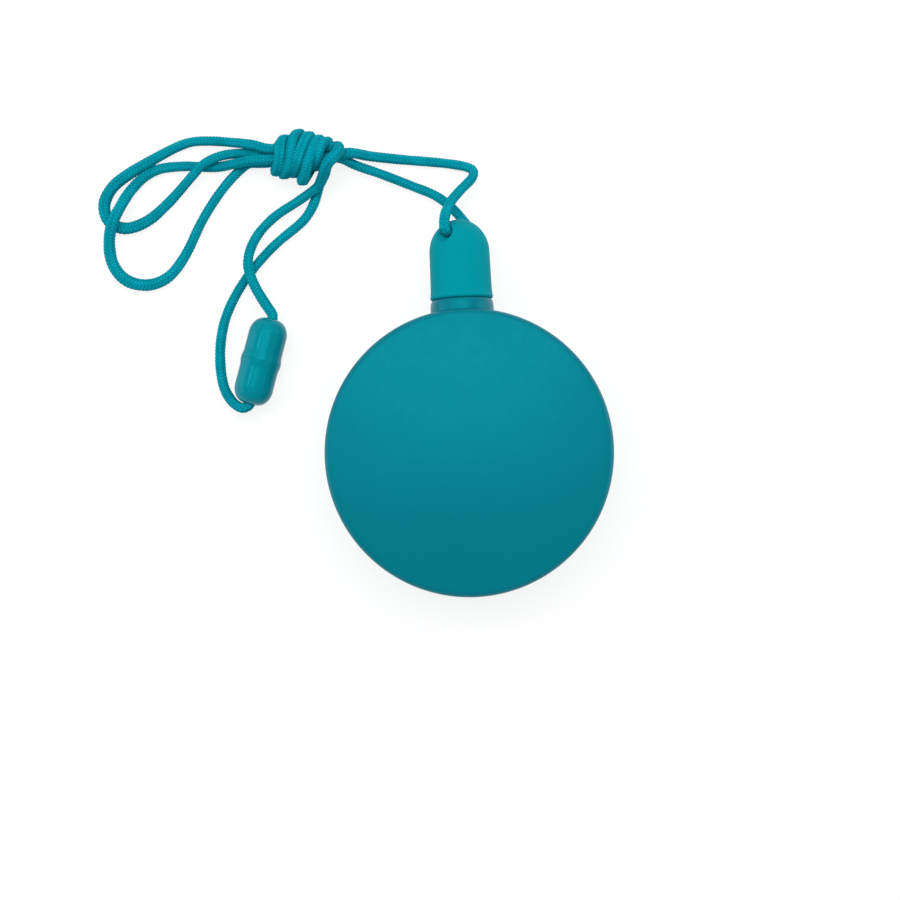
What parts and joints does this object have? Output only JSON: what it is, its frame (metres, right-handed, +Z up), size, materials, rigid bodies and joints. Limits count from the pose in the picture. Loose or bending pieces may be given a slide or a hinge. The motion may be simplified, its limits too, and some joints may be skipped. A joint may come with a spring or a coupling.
{
  "type": "bubble necklace",
  "caption": "Flat round bubble bottle with a screw cap that carries the wand, worn on a knotted cord with a breakaway barrel clasp.",
  "frame": {"origin": "centre of the flat on the bottle's back, on which it lies", "axes": "+Z up out of the bottle's domed face, +Y along the neck to the cap, +X to the right seen from the face"},
  "size_m": [0.11, 0.1045, 0.019],
  "materials": {
    "bottle_plastic": "satin blow-moulded polyethylene",
    "cap_plastic": "satin moulded polypropylene",
    "wand_plastic": "natural white moulded polyethylene",
    "seal_rubber": "soft pale ring",
    "cord_braid": "knitted polyester cord",
    "clasp_plastic": "smooth moulded plastic with a soft gloss"
  },
  "bodies": {
    "bottle": {"bottle": "bottle_plastic"},
    "seal": {"seal_washer": "seal_rubber"},
    "cap": {"cap": "cap_plastic", "bubble_wand": "wand_plastic", "cord_front_run": "cord_braid", "cord_back_run": "cord_braid", "cord_knot": "cord_braid", "cord_clasp_upper": "cord_braid", "cord_clasp_lower": "cord_braid", "cord_end_knot_upper": "cord_braid"},
    "socket": {"clasp_socket": "clasp_plastic"},
    "lower_end": {"cord_end_knot_lower": "cord_braid"},
    "plug": {"clasp_plug": "clasp_plastic"}
  },
  "joints": [
    {"name": "cap_rise", "type": "slide", "parent": "bottle", "child": "seal", "axis": [0, 1, 0], "range_m": [0, 0.06]},
    {"name": "cap_turn", "type": "hinge", "parent": "seal", "child": "cap", "pos_m": [0, 0.04, 0.0086], "axis": [0, 1, 0], "range_deg": [0, 7200]},
    {"name": "socket_swivel", "type": "hinge", "parent": "cap", "child": "socket", "pos_m": [-0.0446, 0.0226, 0.00445], "axis": [0.2924, 0.9563, 0], "continuous": true},
    {"name": "clasp_pull", "type": "slide", "parent": "cap", "child": "lower_end", "axis": [-0.2924, -0.9563, 0], "range_m": [0, 0.008], "deforming": ["cord_clasp_lower"]},
    {"name": "plug_swivel", "type": "hinge", "parent": "lower_end", "child": "plug", "pos_m": [-0.0446, 0.0226, 0.00445], "axis": [0.2924, 0.9563, 0], "continuous": true}
  ],
  "couplings": [
    {"joint": "cap_rise", "follows": "cap_turn", "m_per_rad": 0.00047746}
  ]
}
